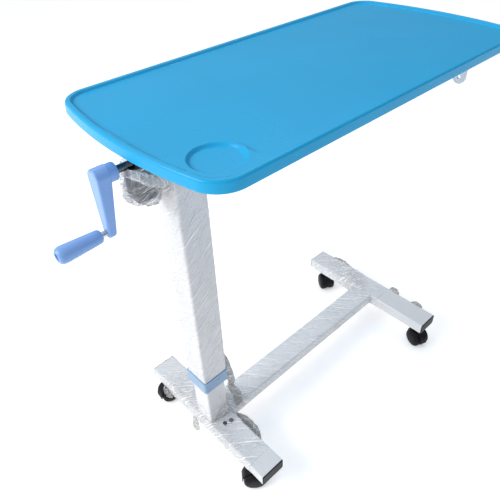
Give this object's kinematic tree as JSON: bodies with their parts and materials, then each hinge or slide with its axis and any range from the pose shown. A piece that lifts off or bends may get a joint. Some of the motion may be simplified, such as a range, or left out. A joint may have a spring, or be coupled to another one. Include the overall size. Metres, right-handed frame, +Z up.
{
  "type": "overbed table",
  "caption": "Overbed table: a rimmed tray with a cup recess on a crank-raised square column, over a low H base on swivelling twin-wheel casters.",
  "frame": {"origin": "bottom centre of the bounding box, on the floor", "axes": "+X along the tray away from the column and crank, +Y across it, +Z up"},
  "size_m": [0.937, 0.4128, 0.83],
  "materials": {
    "tray_blue": "satin moulded plastic",
    "white_paint": "glossy powder coat",
    "grey_casting": "dark grey paint",
    "bright_steel": "plated steel",
    "crank_blue": "satin moulded plastic",
    "collar_blue": "matt moulded plastic",
    "black_plastic": "fine-grained moulded plastic",
    "wheel_rubber": "matt",
    "grey_plastic": "matt moulded plastic",
    "bronze_bush": "machined"
  },
  "bodies": {
    "base": {"near_foot": "white_paint", "far_foot": "white_paint", "crossbar": "white_paint", "near_foot_cap_left": "black_plastic", "near_foot_cap_right": "black_plastic", "far_foot_cap_left": "black_plastic", "far_foot_cap_right": "black_plastic", "base_bolt_1": "bright_steel", "base_bolt_2": "bright_steel", "inner_column": "white_paint", "lift_nut": "bronze_bush", "caster_near_left_stem": "bright_steel", "caster_near_right_stem": "bright_steel", "caster_far_left_stem": "bright_steel", "caster_far_right_stem": "bright_steel"},
    "lifting_top": {"table_top": "tray_blue", "near_cross_tube": "white_paint", "far_cross_tube": "white_paint", "rail_left": "white_paint", "rail_right": "white_paint", "near_cross_plug_left": "grey_plastic", "near_cross_plug_right": "grey_plastic", "far_cross_plug_left": "grey_plastic", "far_cross_plug_right": "grey_plastic", "frame_ear_left": "white_paint", "frame_ear_right": "white_paint", "head_plate": "white_paint", "outer_column": "white_paint", "column_collar": "collar_blue", "collar_screw": "bright_steel", "screw_bearing_plate": "grey_casting", "thrust_bearing": "bright_steel", "shaft_bearing_block": "grey_casting", "shaft_bush": "grey_plastic"},
    "crank": {"crank_shaft": "bright_steel", "bevel_pinion": "bright_steel", "crank_arm": "crank_blue", "grip_pin": "bright_steel"},
    "grip": {"crank_grip": "crank_blue"},
    "screw": {"lead_screw": "bright_steel", "bevel_gear": "bright_steel"},
    "near_left_swivel": {"caster_near_left_hood": "black_plastic", "caster_near_left_axle": "bright_steel"},
    "near_left_wheel_a": {"caster_near_left_wheel_a": "wheel_rubber"},
    "near_left_wheel_b": {"caster_near_left_wheel_b": "wheel_rubber"},
    "near_right_swivel": {"caster_near_right_hood": "black_plastic", "caster_near_right_axle": "bright_steel"},
    "near_right_wheel_a": {"caster_near_right_wheel_a": "wheel_rubber"},
    "near_right_wheel_b": {"caster_near_right_wheel_b": "wheel_rubber"},
    "far_left_swivel": {"caster_far_left_hood": "black_plastic", "caster_far_left_axle": "bright_steel"},
    "far_left_wheel_a": {"caster_far_left_wheel_a": "wheel_rubber"},
    "far_left_wheel_b": {"caster_far_left_wheel_b": "wheel_rubber"},
    "far_right_swivel": {"caster_far_right_hood": "black_plastic", "caster_far_right_axle": "bright_steel"},
    "far_right_wheel_a": {"caster_far_right_wheel_a": "wheel_rubber"},
    "far_right_wheel_b": {"caster_far_right_wheel_b": "wheel_rubber"}
  },
  "joints": [
    {"name": "lift", "type": "slide", "parent": "base", "child": "lifting_top", "axis": [0, 0, 1], "range_m": [-0.08, 0.25]},
    {"name": "crank_spin", "type": "hinge", "parent": "lifting_top", "child": "crank", "pos_m": [-0.3015, 0.00636, 0.785], "axis": [1, 0, 0], "range_deg": [-2880, 9000]},
    {"name": "grip_spin", "type": "hinge", "parent": "crank", "child": "grip", "pos_m": [-0.4315, 0.00636, 0.695], "axis": [1, 0, 0], "continuous": true},
    {"name": "screw_spin", "type": "hinge", "parent": "lifting_top", "child": "screw", "pos_m": [-0.2515, 0.00636, 0.74], "axis": [0, 0, 1], "range_deg": [-9000, 2880]},
    {"name": "near_left_swivel", "type": "hinge", "parent": "base", "child": "near_left_swivel", "pos_m": [-0.2515, 0.17136, 0.05], "axis": [0, 0, 1], "continuous": true},
    {"name": "near_left_wheel_a", "type": "hinge", "parent": "near_left_swivel", "child": "near_left_wheel_a", "pos_m": [-0.26943, 0.17293, 0.025], "axis": [0.0872, 0.9962, 0], "continuous": true},
    {"name": "near_left_wheel_b", "type": "hinge", "parent": "near_left_swivel", "child": "near_left_wheel_b", "pos_m": [-0.26943, 0.17293, 0.025], "axis": [0.0872, 0.9962, 0], "continuous": true},
    {"name": "near_right_swivel", "type": "hinge", "parent": "base", "child": "near_right_swivel", "pos_m": [-0.2515, -0.15864, 0.05], "axis": [0, 0, 1], "continuous": true},
    {"name": "near_right_wheel_a", "type": "hinge", "parent": "near_right_swivel", "child": "near_right_wheel_a", "pos_m": [-0.26568, -0.14756, 0.025], "axis": [0.6157, 0.788, 0], "continuous": true},
    {"name": "near_right_wheel_b", "type": "hinge", "parent": "near_right_swivel", "child": "near_right_wheel_b", "pos_m": [-0.26568, -0.14756, 0.025], "axis": [0.6157, 0.788, 0], "continuous": true},
    {"name": "far_left_swivel", "type": "hinge", "parent": "base", "child": "far_left_swivel", "pos_m": [0.3485, 0.17136, 0.05], "axis": [0, 0, 1], "continuous": true},
    {"name": "far_left_wheel_a", "type": "hinge", "parent": "far_left_swivel", "child": "far_left_wheel_a", "pos_m": [0.33896, 0.1561, 0.025], "axis": [-0.848, 0.5299, 0], "continuous": true},
    {"name": "far_left_wheel_b", "type": "hinge", "parent": "far_left_swivel", "child": "far_left_wheel_b", "pos_m": [0.33896, 0.1561, 0.025], "axis": [-0.848, 0.5299, 0], "continuous": true},
    {"name": "far_right_swivel", "type": "hinge", "parent": "base", "child": "far_right_swivel", "pos_m": [0.3485, -0.15864, 0.05], "axis": [0, 0, 1], "continuous": true},
    {"name": "far_right_wheel_a", "type": "hinge", "parent": "far_right_swivel", "child": "far_right_wheel_a", "pos_m": [0.34234, -0.17555, 0.025], "axis": [-0.9397, 0.342, 0], "continuous": true},
    {"name": "far_right_wheel_b", "type": "hinge", "parent": "far_right_swivel", "child": "far_right_wheel_b", "pos_m": [0.34234, -0.17555, 0.025], "axis": [-0.9397, 0.342, 0], "continuous": true}
  ],
  "couplings": [
    {"joint": "lift", "follows": "crank_spin", "m_per_rad": 0.0015915},
    {"joint": "screw_spin", "follows": "crank_spin", "ratio": -1}
  ]
}
